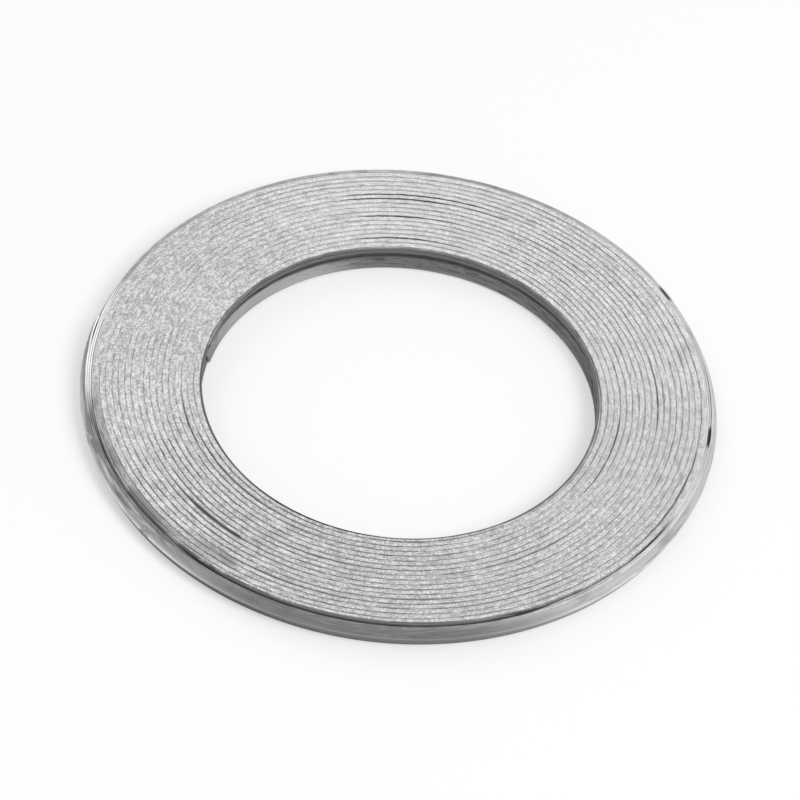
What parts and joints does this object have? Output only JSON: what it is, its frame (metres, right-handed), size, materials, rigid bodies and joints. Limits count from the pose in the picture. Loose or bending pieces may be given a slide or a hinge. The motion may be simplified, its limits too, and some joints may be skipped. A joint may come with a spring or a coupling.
{
  "type": "spiral wound gasket",
  "caption": "Flat ring gasket wound from a V-section stainless strip and a soft graphite strip, with bare welded turns at the bore and at the rim.",
  "frame": {"origin": "on the winding's axis, in the lower sealing face that the gasket lies on", "axes": "+Z along the winding's axis, out of the upper sealing face; both ends of the steel strip lie 170 degrees from +X towards +Y"},
  "size_m": [0.0714, 0.0713, 0.0032],
  "materials": {
    "steel": "rolled strip, satin",
    "graphite": "soft grey sheen, smeared and scratched"
  },
  "bodies": {
    "root": {"steel_strip": "steel", "graphite_strip": "graphite"}
  },
  "joints": []
}
